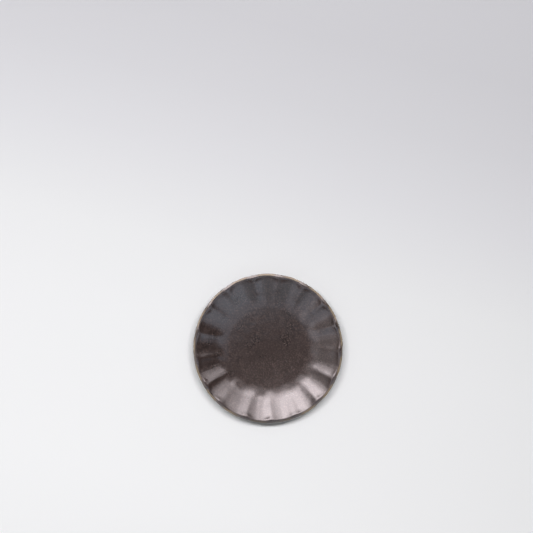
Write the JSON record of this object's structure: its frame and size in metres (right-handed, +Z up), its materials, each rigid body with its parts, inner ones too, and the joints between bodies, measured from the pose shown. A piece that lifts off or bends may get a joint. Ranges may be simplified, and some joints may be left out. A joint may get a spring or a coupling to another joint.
{
  "type": "sauce dish",
  "caption": "Shallow round sauce dish with a fluted flaring wall, dark speckled glaze that breaks tan along the lip, and a low unglazed foot ring.",
  "frame": {"origin": "centre of the foot ring on the plane that the dish stands on", "axes": "+Z up out of the mouth along the dish's axis; seen from above, +Y is the picture's up and +X its right"},
  "size_m": [0.091, 0.091, 0.022],
  "materials": {
    "stoneware": "matte",
    "dark_glaze": "gloss",
    "rim_glaze": "gloss"
  },
  "bodies": {
    "root": {"dish_body": "stoneware", "foot_ring": "stoneware", "face_glaze": "dark_glaze", "rim_glaze": "rim_glaze", "back_glaze": "dark_glaze", "base_glaze": "dark_glaze"}
  },
  "joints": []
}
